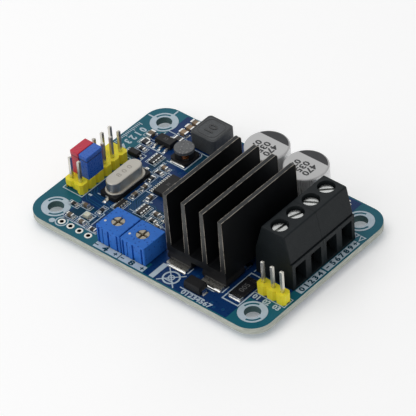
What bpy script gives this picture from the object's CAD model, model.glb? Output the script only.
"""Servo driver board: finishes, solder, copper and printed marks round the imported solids."""
import logging
import math
from dataclasses import dataclass, field
from enum import Enum
from typing import Callable, Iterable, Sequence

import bpy
import numpy as np
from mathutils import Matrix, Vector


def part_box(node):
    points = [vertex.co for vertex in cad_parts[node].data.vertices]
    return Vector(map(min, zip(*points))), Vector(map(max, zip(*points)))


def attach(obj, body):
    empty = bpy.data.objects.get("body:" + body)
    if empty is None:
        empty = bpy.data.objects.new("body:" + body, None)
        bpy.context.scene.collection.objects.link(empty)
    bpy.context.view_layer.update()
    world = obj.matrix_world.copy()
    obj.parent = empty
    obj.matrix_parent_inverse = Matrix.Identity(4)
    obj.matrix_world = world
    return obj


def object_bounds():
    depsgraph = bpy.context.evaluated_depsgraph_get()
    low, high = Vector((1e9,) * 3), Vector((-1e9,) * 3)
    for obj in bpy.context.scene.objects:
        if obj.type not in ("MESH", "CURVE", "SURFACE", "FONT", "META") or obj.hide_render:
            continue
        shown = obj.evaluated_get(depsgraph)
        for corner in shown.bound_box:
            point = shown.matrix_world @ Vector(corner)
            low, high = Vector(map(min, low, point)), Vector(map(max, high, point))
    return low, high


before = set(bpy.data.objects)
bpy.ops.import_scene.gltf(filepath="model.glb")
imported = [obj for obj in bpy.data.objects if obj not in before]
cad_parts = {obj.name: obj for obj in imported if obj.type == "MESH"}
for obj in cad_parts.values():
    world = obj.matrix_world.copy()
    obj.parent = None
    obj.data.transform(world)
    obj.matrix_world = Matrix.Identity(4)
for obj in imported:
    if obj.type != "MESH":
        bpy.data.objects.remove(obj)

CAD_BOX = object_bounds()
LOG = logging.getLogger("servo_driver_board")

MM = 0.001                      # the pieces are worked out in millimetres
TOP = 1.6                       # height of the board's top face

Colour = tuple[float, float, float]
Point = tuple[float, float]


class Layer(Enum):
    """Height of the top of each thin layer above the board's top face, in millimetres."""

    POUR = 0.018
    CLEARANCE = 0.022
    TRACK = 0.036
    PAD = 0.050
    PRINT = 0.058
    OVERPRINT = 0.066


class Reading(Enum):
    """Direction in which a row of figures reads, as degrees from +X."""

    ALONG_X = 0.0
    ALONG_Y = 90.0
    AGAINST_Y = -90.0


# ---- Surfaces on grids -----------------------------------------------------


@dataclass
class Shape:
    """Points and faces gathered from several closed surfaces, in millimetres."""

    points: list[np.ndarray] = field(default_factory=list)
    faces: list[list[int]] = field(default_factory=list)
    count: int = 0

    def add(self, points: np.ndarray, faces: Iterable[Sequence[int]]) -> None:
        """Takes in one surface.

        Args:
            points: Coordinates, one row each.
            faces: Corner numbers within those points.
        """
        start = self.count
        self.points.append(np.asarray(points, float).reshape(-1, 3))
        self.faces.extend([[corner + start for corner in face] for face in faces])
        self.count += len(self.points[-1])

    def merge(self, other: "Shape") -> None:
        """Takes in every surface of another shape."""
        if other.count:
            self.add(np.concatenate(other.points), other.faces)

    def all_points(self) -> np.ndarray:
        """The coordinates as one array."""
        return np.concatenate(self.points) if self.points else np.zeros((0, 3))


def grid_quads(rows: int, columns: int, wrap_rows: bool = False, wrap_columns: bool = False) -> np.ndarray:
    """Quads of a grid whose point (r, c) has number r * columns + c.

    Args:
        rows: Points down the grid.
        columns: Points across it.
        wrap_rows: Join the last row to the first.
        wrap_columns: Join the last column to the first.

    Returns:
        Corner numbers, four to a row.
    """
    r, c = np.meshgrid(np.arange(rows if wrap_rows else rows - 1),
                       np.arange(columns if wrap_columns else columns - 1), indexing="ij")
    next_r, next_c = (r + 1) % rows, (c + 1) % columns
    corners = [r * columns + c, r * columns + next_c, next_r * columns + next_c, next_r * columns + c]
    return np.stack(corners, -1).reshape(-1, 4)


def loft(loops: np.ndarray) -> tuple[np.ndarray, list[list[int]]]:
    """A closed form through loops stacked upwards, each anticlockwise from above, flat at both ends.

    Args:
        loops: Array of shape (levels, points, 3).

    Returns:
        Its points and faces.
    """
    levels, around = loops.shape[:2]
    faces = grid_quads(levels, around, wrap_columns=True).tolist()
    faces.append(list(range(around))[::-1])
    faces.append(list(range((levels - 1) * around, levels * around)))
    return loops.reshape(-1, 3), faces


def rounded_outline(x: float, y: float, size_x: float, size_y: float, radius: float,
                    steps: int = 4) -> np.ndarray:
    """A rectangle whose corners are quarter circles, anticlockwise.

    Args:
        x, y: Its centre.
        size_x, size_y: Its sides.
        radius: Corner radius.
        steps: Points round each corner.

    Returns:
        Array of shape (4 * steps, 2).
    """
    turn = (np.arange(4)[:, None] * 90.0 + np.linspace(0, 90, steps)[None, :]) * math.pi / 180
    sign_x = np.array([1, -1, -1, 1])[:, None]
    sign_y = np.array([1, 1, -1, -1])[:, None]
    px = x + sign_x * (size_x / 2 - radius) + radius * np.cos(turn)
    py = y + sign_y * (size_y / 2 - radius) + radius * np.sin(turn)
    return np.stack([px, py], -1).reshape(-1, 2)


def circle(x: float, y: float, radius: float, steps: int = 32) -> np.ndarray:
    """Points round a circle, anticlockwise."""
    turn = np.arange(steps) / steps * 2 * math.pi
    return np.stack([x + radius * np.cos(turn), y + radius * np.sin(turn)], -1)


def plate(outline: np.ndarray, low: float, high: float) -> tuple[np.ndarray, list[list[int]]]:
    """A flat plate: the outline carried straight up.

    Args:
        outline: Its corners, anticlockwise, (n, 2).
        low, high: Bottom and top heights.

    Returns:
        Points and faces.
    """
    outline = np.asarray(outline, float)
    levels = [np.column_stack([outline, np.full(len(outline), z)]) for z in (low, high)]
    return loft(np.stack(levels))


def sweep(path: np.ndarray, across: np.ndarray, rise: np.ndarray, profile: np.ndarray,
          closed: bool = False) -> tuple[np.ndarray, list[list[int]]]:
    """A profile carried along a path: point = path + profile_u * across + profile_v * rise.

    Args:
        path: Points of the path, (n, 3).
        across: Sideways vector at each point, (n, 3).
        rise: Upward vector at each point, (n, 3).
        profile: Closed outline in (u, v), anticlockwise seen with the path coming nearer.
        closed: The path returns to its first point.

    Returns:
        Points and faces of the closed tube.
    """
    points = (path[:, None, :] + profile[None, :, 0, None] * across[:, None, :]
              + profile[None, :, 1, None] * rise[:, None, :])
    rows, columns = points.shape[:2]
    faces = grid_quads(rows, columns, wrap_rows=closed, wrap_columns=True)[:, ::-1].tolist()
    if not closed:
        faces.append(list(range(columns)))
        faces.append(list(range((rows - 1) * columns, rows * columns))[::-1])
    return points.reshape(-1, 3), faces


def ribbon(route: Sequence[Point], width: float, low: float, high: float,
           closed: bool = False) -> tuple[np.ndarray, list[list[int]]]:
    """A flat strip of even width along a bent route, mitred at each corner.

    Args:
        route: Corners of its centre line.
        width: Width of the strip.
        low, high: Bottom and top heights.
        closed: The route returns to its start.

    Returns:
        Points and faces.
    """
    line = np.asarray(route, float)
    ahead = np.roll(line, -1, 0) - line
    behind = line - np.roll(line, 1, 0)
    if not closed:
        ahead[-1] = behind[-1]
        behind[0] = ahead[0]
    ahead = ahead / np.linalg.norm(ahead, axis=1, keepdims=True)
    behind = behind / np.linalg.norm(behind, axis=1, keepdims=True)
    normal = np.stack([-(ahead + behind)[:, 1], (ahead + behind)[:, 0]], -1)
    normal = normal / np.linalg.norm(normal, axis=1, keepdims=True)
    straight = np.stack([-ahead[:, 1], ahead[:, 0]], -1)
    stretch = 1 / np.maximum((normal * straight).sum(1, keepdims=True), 0.4)
    across = np.column_stack([-normal * stretch * width / 2, np.zeros(len(line))])
    path = np.column_stack([line, np.full(len(line), low)])
    rise = np.tile([0.0, 0.0, high - low], (len(line), 1))
    profile = np.array([[-1, 0], [1, 0], [1, 1], [-1, 1]], float)
    return sweep(path, across, rise, profile, closed)


def arc_band(x: float, y: float, inner: float, outer: float, low: float, high: float,
             start: float = 0.0, end: float = 360.0) -> tuple[np.ndarray, list[list[int]]]:
    """A flat ring, or the part of one between two angles.

    Args:
        x, y: Its centre.
        inner, outer: Its two radii.
        low, high: Bottom and top heights.
        start, end: Angles in degrees; a full turn makes a ring.

    Returns:
        Points and faces.
    """
    whole = end - start >= 360.0
    steps = max(int((end - start) / 360 * 48), 6)
    turn = np.radians(np.linspace(start, end, steps, endpoint=not whole))
    middle = (inner + outer) / 2
    route = np.stack([x + middle * np.cos(turn), y + middle * np.sin(turn)], -1)
    return ribbon(route, outer - inner, low, high, closed=whole)


def offset_route(route: Sequence[Point], distance: float) -> np.ndarray:
    """A route moved sideways, with its corners kept mitred.

    Args:
        route: Corners of the line.
        distance: How far it moves to its left.

    Returns:
        The new corners, (n, 2).
    """
    line = np.asarray(route, float)
    step = np.diff(line, axis=0)
    step = step / np.linalg.norm(step, axis=1, keepdims=True)
    ahead = np.vstack([step, step[-1:]])
    behind = np.vstack([step[:1], step])
    normal = np.stack([-(ahead + behind)[:, 1], (ahead + behind)[:, 0]], -1)
    normal = normal / np.linalg.norm(normal, axis=1, keepdims=True)
    straight = np.stack([-ahead[:, 1], ahead[:, 0]], -1)
    stretch = 1 / np.maximum((normal * straight).sum(1, keepdims=True), 0.4)
    return line + normal * stretch * distance


def figures(text: str, x: float, y: float, low: float, thickness: float, height: float,
            reading: float, weight: float = 0.0, squeeze: float = 1.0) -> Shape:
    """A centred row of figures as thin raised print.

    Args:
        text: Digits and signs.
        x, y: Centre of the row.
        low: Height of its underside.
        thickness: Thickness of the print.
        height: Size of the figures.
        reading: Reading direction in degrees from +X.
        weight: Extra boldness.
        squeeze: Width factor.

    Returns:
        The print as a shape.
    """
    curve = bpy.data.curves.new("row_of_figures", "FONT")
    curve.body = text
    curve.size = height * 1.38
    curve.align_x = "CENTER"
    curve.resolution_u = 2
    curve.extrude = thickness / 2
    curve.offset = weight
    holder = bpy.data.objects.new("row_of_figures", curve)
    mesh = bpy.data.meshes.new_from_object(holder)
    local = np.zeros(len(mesh.vertices) * 3)
    mesh.vertices.foreach_get("co", local)
    local = local.reshape(-1, 3)
    _, first, same = np.unique(np.round(local, 6), axis=0, return_index=True, return_inverse=True)
    same = same.reshape(-1)
    faces = [same[list(polygon.vertices)].tolist() for polygon in mesh.polygons]
    faces = [face for face in faces if len(set(face)) == len(face)]
    local = local[first]
    bpy.data.objects.remove(holder)
    bpy.data.curves.remove(curve)
    bpy.data.meshes.remove(mesh)
    local[:, 0] *= squeeze
    local[:, :2] -= (local[:, :2].max(0) + local[:, :2].min(0)) / 2
    turn = math.radians(reading)
    shape = Shape()
    shape.add(np.column_stack([
        x + local[:, 0] * math.cos(turn) - local[:, 1] * math.sin(turn),
        y + local[:, 0] * math.sin(turn) + local[:, 1] * math.cos(turn),
        low + thickness / 2 + local[:, 2]]), faces)
    return shape


def node_box(node: str) -> tuple[np.ndarray, np.ndarray]:
    """Lowest and highest corner of a CAD node, in millimetres."""
    low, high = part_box(node)
    return np.array(low) / MM, np.array(high) / MM


def solid_boxes(node: str) -> np.ndarray:
    """The box of each separate solid of a CAD node, in millimetres.

    Corners at one place are joined, and each triangle passes its lowest label to its corners until
    nothing changes, so every solid ends with one label.

    Args:
        node: Name of the node.

    Returns:
        Array of shape (solids, 2, 3): lowest and highest corners.
    """
    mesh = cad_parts[node].data
    points = np.zeros(len(mesh.vertices) * 3)
    mesh.vertices.foreach_get("co", points)
    points = points.reshape(-1, 3) / MM
    corners = np.zeros(len(mesh.loops), int)
    mesh.loops.foreach_get("vertex_index", corners)
    _, place = np.unique(np.round(points, 4), axis=0, return_inverse=True)
    place = place.reshape(-1)
    triangles = place[corners].reshape(-1, 3)
    label = np.arange(place.max() + 1)
    while True:
        lowest = label[triangles].min(1)
        fresh = label.copy()
        np.minimum.at(fresh, triangles, np.repeat(lowest[:, None], 3, 1))
        if (fresh == label).all():
            break
        label = fresh
    names, group = np.unique(label[place], return_inverse=True)
    low = np.full((len(names), 3), np.inf)
    high = np.full((len(names), 3), -np.inf)
    np.minimum.at(low, group, points)
    np.maximum.at(high, group, points)
    return np.stack([low, high], 1)


# ---- Shader wiring ---------------------------------------------------------


class Wiring:
    """Adds and joins the nodes of one shader tree."""

    def __init__(self, tree: bpy.types.NodeTree) -> None:
        """Keeps the tree.

        Args:
            tree: A material's or group's node tree.
        """
        self.tree = tree

    def put(self, kind: str, values: dict | None = None, **settings: object) -> bpy.types.Node:
        """Adds one node.

        Args:
            kind: Node type without its ShaderNode prefix.
            values: Input values or links, by socket name or number.
            settings: Properties of the node.

        Returns:
            The node.
        """
        node = self.tree.nodes.new("ShaderNode" + kind)
        for name, value in settings.items():
            setattr(node, name, value)
        for key, value in (values or {}).items():
            self.feed(node.inputs[key], value)
        return node

    def feed(self, socket: bpy.types.NodeSocket, value: object) -> None:
        """Links an output to a socket, or sets the socket's own value.

        Args:
            socket: The input.
            value: An output socket, a number, a vector or a colour.
        """
        if isinstance(value, bpy.types.NodeSocket):
            self.tree.links.new(value, socket)
        elif isinstance(value, tuple) and len(value) == 3 and socket.type == "RGBA":
            socket.default_value = (*value, 1.0)
        else:
            socket.default_value = value

    def maths(self, operation: str, first: object, second: object = 0.0) -> bpy.types.NodeSocket:
        """One sum on two numbers."""
        return self.put("Math", {0: first, 1: second}, operation=operation).outputs[0]

    def blend(self, share: object, first: object, second: object) -> bpy.types.NodeSocket:
        """Two colours mixed by a share."""
        return self.put("Mix", {0: share, 6: first, 7: second}, data_type="RGBA").outputs[2]

    def spread(self, value: object, low: float, high: float, new_low: object = 0.0,
               new_high: object = 1.0) -> bpy.types.NodeSocket:
        """A number carried smoothly from one range to another."""
        return self.put("MapRange", {0: value, 1: low, 2: high, 3: new_low, 4: new_high},
                        interpolation_type="SMOOTHSTEP").outputs[0]


@dataclass(frozen=True)
class Recipe:
    """One shared shader group: its name, its sockets and how it is wired."""

    name: str
    takes: tuple[tuple[str, str, object], ...]
    gives: tuple[tuple[str, str], ...]
    wire: Callable[[Wiring, bpy.types.Node], dict[str, object]]

    def group(self) -> bpy.types.NodeTree:
        """The node group, made the first time it is asked for.

        Returns:
            The group's tree.
        """
        made = bpy.data.node_groups.get(self.name)
        if made is not None:
            return made
        tree = bpy.data.node_groups.new(self.name, "ShaderNodeTree")
        for label, kind, value in self.takes:
            socket = tree.interface.new_socket(label, in_out="INPUT", socket_type="NodeSocket" + kind)
            if value is not None:
                socket.default_value = value
        for label, kind in self.gives:
            tree.interface.new_socket(label, in_out="OUTPUT", socket_type="NodeSocket" + kind)
        source = tree.nodes.new("NodeGroupInput")
        sink = tree.nodes.new("NodeGroupOutput")
        wiring = Wiring(tree)
        for label, value in self.wire(wiring, source).items():
            wiring.feed(sink.inputs[label], value)
        return tree

    def place(self, wiring: Wiring, values: dict[str, object]) -> bpy.types.Node:
        """Puts the group into a tree with its own values.

        Args:
            wiring: The tree's wiring.
            values: Input values or links, by socket name.

        Returns:
            The group's node.
        """
        node = wiring.put("Group", node_tree=self.group())
        for label, value in values.items():
            wiring.feed(node.inputs[label], value)
        return node


def wire_drift(w: Wiring, source: bpy.types.Node) -> dict[str, object]:
    """Colour drift: the base colour times one plus a soft two-scale noise.

    Args:
        w: Wiring of the group's tree.
        source: The group's input node.

    Returns:
        The tinted colour and the noise.
    """
    take = source.outputs
    broad = w.put("TexNoise", {"Vector": take["Vector"], "Scale": take["Scale"], "Detail": 2.0})
    finer = w.maths("MULTIPLY", take["Scale"], 5.3)
    close = w.put("TexNoise", {"Vector": take["Vector"], "Scale": finer, "Detail": 3.0})
    mean = w.maths("ADD", w.maths("MULTIPLY", broad.outputs[0], 0.6), w.maths("MULTIPLY", close.outputs[0], 0.4))
    swing = w.maths("MULTIPLY", w.maths("SUBTRACT", mean, 0.5), w.maths("MULTIPLY", take["Amount"], 4.0))
    gain = w.maths("ADD", swing, 1.0)
    tinted = w.put("VectorMath", {0: take["Base"], "Scale": gain}, operation="SCALE").outputs[0]
    return {"Colour": tinted, "Value": mean}


def wire_grain(w: Wiring, source: bpy.types.Node) -> dict[str, object]:
    """Fine relief: noise on coordinates stretched along an axis, so it can also be a brushed streak.

    Args:
        w: Wiring of the group's tree.
        source: The group's input node.

    Returns:
        The height.
    """
    take = source.outputs
    stretched = w.put("VectorMath", {0: take["Vector"], 1: take["Stretch"]}, operation="MULTIPLY").outputs[0]
    noise = w.put("TexNoise", {"Vector": stretched, "Scale": take["Scale"], "Detail": 4.0, "Roughness": 0.6})
    return {"Height": noise.outputs[0]}


def wire_specks(w: Wiring, source: bpy.types.Node) -> dict[str, object]:
    """Scattered round specks: places nearer to a random point than a set distance.

    Args:
        w: Wiring of the group's tree.
        source: The group's input node.

    Returns:
        The mask.
    """
    take = source.outputs
    cells = w.put("TexVoronoi", {"Vector": take["Vector"], "Scale": take["Scale"], "Randomness": 1.0})
    edge = w.maths("SUBTRACT", take["Size"], cells.outputs["Distance"])
    return {"Mask": w.spread(edge, 0.0, 0.06)}


def wire_facing(w: Wiring, source: bpy.types.Node) -> dict[str, object]:
    """Masks of the faces that look up, look down or look along Y.

    Args:
        w: Wiring of the group's tree.
        source: The group's input node.

    Returns:
        The three masks.
    """
    normal = w.put("TexCoord").outputs["Normal"]
    parts = w.put("SeparateXYZ", {0: normal}).outputs
    up = w.spread(parts[2], 0.45, 0.75)
    down = w.spread(w.maths("MULTIPLY", parts[2], -1.0), 0.45, 0.75)
    return {"Up": up, "Down": down, "Along": w.spread(w.maths("ABSOLUTE", parts[1]), 0.7, 0.95)}


def wire_dust(w: Wiring, source: bpy.types.Node) -> dict[str, object]:
    """A thin uneven film of dust: a colour eased towards pale grey where soft noise is high.

    Args:
        w: Wiring of the group's tree.
        source: The group's input node.

    Returns:
        The dusted colour and the share of dust.
    """
    take = source.outputs
    patch = w.put("TexNoise", {"Vector": take["Vector"], "Scale": 420.0, "Detail": 5.0, "Roughness": 0.7})
    share = w.maths("MULTIPLY", w.spread(patch.outputs[0], 0.42, 0.78), take["Amount"])
    return {"Colour": w.blend(share, take["Colour"], (0.42, 0.42, 0.40)), "Mask": share}


DRIFT = Recipe("colour_drift",
               (("Vector", "Vector", None), ("Base", "Color", None), ("Scale", "Float", 300.0),
                ("Amount", "Float", 0.1)),
               (("Colour", "Color"), ("Value", "Float")), wire_drift)
GRAIN = Recipe("fine_grain",
               (("Vector", "Vector", None), ("Scale", "Float", 5000.0), ("Stretch", "Vector", (1.0, 1.0, 1.0))),
               (("Height", "Float"),), wire_grain)
SPECKS = Recipe("round_specks",
                (("Vector", "Vector", None), ("Scale", "Float", 3000.0), ("Size", "Float", 0.2)),
                (("Mask", "Float"),), wire_specks)
FACING = Recipe("facing_masks", (), (("Up", "Float"), ("Down", "Float"), ("Along", "Float")), wire_facing)
DUST = Recipe("dust_film",
              (("Vector", "Vector", None), ("Colour", "Color", None), ("Amount", "Float", 0.1)),
              (("Colour", "Color"), ("Mask", "Float")), wire_dust)


@dataclass
class Skin:
    """The sockets or values that a material is made from, handed from step to step."""

    where: bpy.types.NodeSocket
    colour: object
    roughness: object
    metal: object
    height: object


@dataclass(frozen=True)
class Finish:
    """A surface finish: base colour, drift, grain, gloss and dust.

    Lengths of pattern are given as scales per metre on Object coordinates.
    """

    name: str
    colour: Colour
    roughness: float = 0.5
    roughness_swing: float = 0.08
    metallic: float = 0.0
    drift: float = 0.05
    drift_scale: float = 350.0
    grain: float = 0.12
    grain_depth: float = 0.00002
    grain_scale: float = 7000.0
    stretch: tuple[float, float, float] = (1.0, 1.0, 1.0)
    dust: float = 0.0
    coat: float = 0.0
    specular: float = 0.5
    subsurface: float = 0.0

    def material(self) -> bpy.types.Material:
        """The material, made the first time it is asked for.

        Returns:
            The material.
        """
        label = "finish_" + self.name       # the frame's own materials have plain names
        made = bpy.data.materials.get(label)
        if made is not None:
            return made
        material = bpy.data.materials.new(label)
        material.use_nodes = True
        material.diffuse_color = (*self.colour, 1.0)
        w = Wiring(material.node_tree)
        shader = material.node_tree.nodes["Principled BSDF"]
        where = w.put("TexCoord").outputs["Object"]
        drift = DRIFT.place(w, {"Vector": where, "Base": self.colour, "Scale": self.drift_scale,
                                "Amount": self.drift})
        grain = GRAIN.place(w, {"Vector": where, "Scale": self.grain_scale, "Stretch": self.stretch})
        swing = self.roughness_swing
        roughness = w.spread(grain.outputs["Height"], 0.25, 0.75, max(self.roughness - swing, 0.02),
                             min(self.roughness + swing, 1.0))
        skin = Skin(where, drift.outputs["Colour"], roughness, self.metallic, grain.outputs["Height"])
        self.dress(w, skin)
        if self.dust:
            film = DUST.place(w, {"Vector": where, "Colour": skin.colour, "Amount": self.dust})
            skin.colour = film.outputs["Colour"]
        w.feed(shader.inputs["Base Color"], skin.colour)
        w.feed(shader.inputs["Roughness"], skin.roughness)
        w.feed(shader.inputs["Metallic"], skin.metal)
        shader.inputs["Coat Weight"].default_value = self.coat
        shader.inputs["Coat Roughness"].default_value = 0.12
        shader.inputs["Specular IOR Level"].default_value = self.specular
        shader.inputs["Subsurface Weight"].default_value = self.subsurface
        shader.inputs["Subsurface Scale"].default_value = 0.0006
        bump = w.put("Bump", {"Strength": self.grain, "Distance": self.grain_depth, "Height": skin.height})
        w.feed(shader.inputs["Normal"], bump.outputs[0])
        return material

    def dress(self, w: Wiring, skin: Skin) -> None:
        """Hook for finishes that differ from place to place; the plain one changes nothing."""


@dataclass(frozen=True)
class LaminateFinish(Finish):
    """Solder mask above and below, bare laminate on the cut edges, darker walls in the mounting holes."""

    edge: Colour = (0.56, 0.58, 0.53)
    bore: Colour = (0.075, 0.135, 0.140)
    bore_place: Point = (0.0275, 0.0175)

    def dress(self, w: Wiring, skin: Skin) -> None:
        """Cut edges show faint layers of glass cloth; faces keep the mask.

        Args:
            w: Wiring of the material's tree.
            skin: The values so far, changed in place.
        """
        facing = FACING.place(w, {})
        faces = w.maths("MAXIMUM", facing.outputs["Up"], facing.outputs["Down"])
        layers = GRAIN.place(w, {"Vector": skin.where, "Scale": 900.0, "Stretch": (0.5, 0.5, 9.0)})
        cloth = w.blend(w.spread(layers.outputs["Height"], 0.35, 0.65), self.edge,
                        (self.edge[0] * 0.62, self.edge[1] * 0.64, self.edge[2] * 0.6))
        parts = w.put("SeparateXYZ", {0: skin.where}).outputs
        away = [w.maths("ABSOLUTE", w.maths("SUBTRACT", w.maths("ABSOLUTE", parts[axis]), self.bore_place[axis]))
                for axis in (0, 1)]
        near = w.spread(w.maths("MAXIMUM", *away), 0.0022, 0.0024, 1.0, 0.0)
        cut = w.blend(near, cloth, self.bore)
        rougher = w.maths("MULTIPLY", w.maths("SUBTRACT", 1.0, faces), 0.4)
        skin.roughness = w.maths("ADD", skin.roughness, rougher)
        skin.colour = w.blend(faces, cut, skin.colour)


@dataclass(frozen=True)
class ExtrusionFinish(Finish):
    """Black anodised extrusion with die lines along Y and sawn, greyer ends."""

    sawn: Colour = (0.098, 0.099, 0.094)
    fade_from: float = 0.0050
    fade_to: float = 0.0150

    def dress(self, w: Wiring, skin: Skin) -> None:
        """Sawn ends are lighter and show saw lines across the fins.

        Args:
            w: Wiring of the material's tree.
            skin: The values so far, changed in place.
        """
        facing = FACING.place(w, {})
        ends = facing.outputs["Along"]
        marks = GRAIN.place(w, {"Vector": skin.where, "Scale": 2200.0, "Stretch": (0.3, 1.0, 6.0)})
        cut = w.blend(w.spread(marks.outputs["Height"], 0.3, 0.7), self.sawn,
                      (self.sawn[0] * 0.45, self.sawn[1] * 0.45, self.sawn[2] * 0.46))
        skin.height = w.maths("ADD", w.maths("MULTIPLY", skin.height, 0.7),
                              w.maths("MULTIPLY", marks.outputs["Height"], 0.3))
        z = w.put("SeparateXYZ", {0: skin.where}).outputs[2]
        shown = w.maths("MULTIPLY", ends, w.spread(z, self.fade_from, self.fade_to, 0.05, 1.0))
        rims = w.maths("MULTIPLY", facing.outputs["Up"], w.spread(z, 0.0185, 0.0190))
        topped = w.blend(rims, skin.colour, (0.034, 0.036, 0.038))
        skin.colour = w.blend(shown, topped, cut)


@dataclass(frozen=True)
class DrawnCanFinish(Finish):
    """A bright drawn can whose flat top is satin white metal."""

    top: Colour = (0.86, 0.87, 0.88)
    top_roughness: float = 0.55

    def dress(self, w: Wiring, skin: Skin) -> None:
        """The top is rougher and paler than the drawn side.

        Args:
            w: Wiring of the material's tree.
            skin: The values so far, changed in place.
        """
        facing = FACING.place(w, {})
        up = facing.outputs["Up"]
        skin.roughness = w.put("Mix", {0: up, 2: skin.roughness, 3: self.top_roughness}).outputs[0]
        skin.metal = w.put("Mix", {0: up, 2: skin.metal, 3: 0.25}).outputs[0]
        skin.colour = w.blend(up, skin.colour, self.top)


@dataclass(frozen=True)
class RecessFinish(Finish):
    """One colour below a height and down to another, such as a slot's floor, and the main one elsewhere."""

    deep: Colour = (0.2, 0.12, 0.06)
    level: float = 0.0
    until: float = -1.0

    def dress(self, w: Wiring, skin: Skin) -> None:
        """Everything between the two heights takes the deep colour.

        Args:
            w: Wiring of the material's tree.
            skin: The values so far, changed in place.
        """
        z = w.put("SeparateXYZ", {0: skin.where}).outputs[2]
        above = w.spread(z, self.level - 0.00004, self.level + 0.00004)
        beneath = w.spread(z, self.until - 0.00004, self.until + 0.00004, 1.0, 0.0)
        skin.colour = w.blend(w.maths("MAXIMUM", above, beneath), self.deep, skin.colour)


@dataclass(frozen=True)
class SpeckledFinish(Finish):
    """A finish with scattered specks of another colour, as ground ferrite or glazed ceramic has."""

    speck: Colour = (0.3, 0.3, 0.3)
    speck_scale: float = 4000.0
    speck_size: float = 0.22

    def dress(self, w: Wiring, skin: Skin) -> None:
        """Specks take their own colour and stand a little proud.

        Args:
            w: Wiring of the material's tree.
            skin: The values so far, changed in place.
        """
        specks = SPECKS.place(w, {"Vector": skin.where, "Scale": self.speck_scale, "Size": self.speck_size})
        mask = specks.outputs["Mask"]
        skin.height = w.maths("ADD", w.maths("MULTIPLY", skin.height, 0.7), w.maths("MULTIPLY", mask, 0.3))
        skin.colour = w.blend(w.maths("MULTIPLY", mask, 0.6), skin.colour, self.speck)


@dataclass(frozen=True)
class VariedFinish(Finish):
    """A finish that differs from one small part to the next, between two colours."""

    other: Colour = (0.3, 0.3, 0.3)
    change: float = 200.0

    def dress(self, w: Wiring, skin: Skin) -> None:
        """Broad noise picks the colour, so each part is nearly even.

        Args:
            w: Wiring of the material's tree.
            skin: The values so far, changed in place.
        """
        pick = w.put("TexNoise", {"Vector": skin.where, "Scale": self.change, "Detail": 0.0})
        skin.colour = w.blend(w.spread(pick.outputs[0], 0.52, 0.62), skin.colour, self.other)


MASK_TEAL = LaminateFinish("solder_mask_teal", (0.010, 0.112, 0.158), roughness=0.34, drift=0.09,
                           drift_scale=160.0, grain=0.10, grain_scale=1500.0, specular=0.14)
MASK_BLUE = Finish("solder_mask_over_copper", (0.0035, 0.031, 0.125), roughness=0.32, drift=0.16,
                   drift_scale=260.0, grain=0.12, grain_scale=1800.0, specular=0.16)
MASK_GAP = Finish("solder_mask_gap", (0.004, 0.040, 0.078), roughness=0.34, drift=0.1, specular=0.12)
MASK_TRACK = Finish("solder_mask_track", (0.010, 0.064, 0.185), roughness=0.3, drift=0.12,
                    drift_scale=500.0, specular=0.2)
PRINT_WHITE = Finish("white_print", (0.45, 0.54, 0.61), roughness=0.6, drift=0.10, drift_scale=900.0,
                     grain=0.3, grain_scale=9000.0, specular=0.2)
PRINT_DARK = Finish("mask_seen_through_print", (0.004, 0.045, 0.072), roughness=0.4, drift=0.1, specular=0.12)
MARK_GREY = Finish("laser_mark", (0.13, 0.13, 0.13), roughness=0.75, drift=0.12, grain=0.3, specular=0.2)
MARK_BLACK = Finish("black_ink", (0.042, 0.043, 0.046), roughness=0.5, drift=0.15, drift_scale=700.0,
                    specular=0.3)
TIN = Finish("tin_plate", (0.70, 0.68, 0.62), roughness=0.3, roughness_swing=0.07, metallic=1.0, drift=0.12,
             drift_scale=700.0, grain=0.10, grain_scale=2400.0, stretch=(1.0, 1.0, 0.15))
SOLDER = Finish("solder", (0.70, 0.70, 0.68), roughness=0.17, roughness_swing=0.12, metallic=1.0, drift=0.16,
                drift_scale=1400.0, grain=0.8, grain_depth=0.00005, grain_scale=2300.0)
PLATED_RING = RecessFinish("plated_ring", (0.80, 0.79, 0.74), roughness=0.28, roughness_swing=0.08, metallic=1.0,
                           drift=0.06, grain=0.2, deep=(0.045, 0.045, 0.042), level=(TOP - 0.05) * MM,
                           until=0.05 * MM)
YELLOW = Finish("yellow_moulding", (0.86, 0.74, 0.035), roughness=0.42, drift=0.07, drift_scale=600.0,
                grain=0.35, grain_scale=2600.0, subsurface=0.12, specular=0.25)
JUMPER_BLUE = RecessFinish("blue_jumper_moulding", (0.022, 0.115, 0.50), level=9.27 * MM, until=8.86 * MM,
                           deep=(0.005, 0.025, 0.13), roughness=0.30, drift=0.10,
                     drift_scale=450.0, grain=0.35, grain_scale=2400.0, subsurface=0.06, specular=0.4)
JUMPER_RED = RecessFinish("red_jumper_moulding", (0.53, 0.022, 0.055), level=9.27 * MM, until=8.86 * MM,
                          deep=(0.14, 0.006, 0.015), roughness=0.32, drift=0.12, drift_scale=450.0,
                    grain=0.35, grain_scale=2400.0, subsurface=0.06, specular=0.4)
SPRING = Finish("spring_bronze", (0.72, 0.52, 0.26), roughness=0.3, metallic=1.0, drift=0.08, grain=0.2)
BLACK_MOULDING = Finish("black_terminal_moulding", (0.0092, 0.0125, 0.0145), roughness=0.46,
                        roughness_swing=0.1, drift=0.14, drift_scale=300.0, grain=0.45, grain_scale=3400.0,
                        dust=0.008, specular=0.17)
BASE_BLACK = Finish("black_base_moulding", (0.009, 0.009, 0.010), roughness=0.5, drift=0.1, grain=0.3,
                    specular=0.2)
ZINC = Finish("zinc_plated_steel", (0.60, 0.61, 0.60), roughness=0.24, roughness_swing=0.12, metallic=1.0,
              drift=0.14, drift_scale=1000.0, grain=0.3, grain_depth=0.00002, grain_scale=1900.0)
TRIMMER_BLUE = SpeckledFinish("trimmer_moulding", (0.026, 0.150, 0.55), roughness=0.5, drift=0.13,
                              drift_scale=700.0, grain=0.8, grain_depth=0.00007, grain_scale=1700.0,
                              speck=(0.008, 0.045, 0.24), speck_scale=1100.0, speck_size=0.26, specular=0.18)
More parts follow.
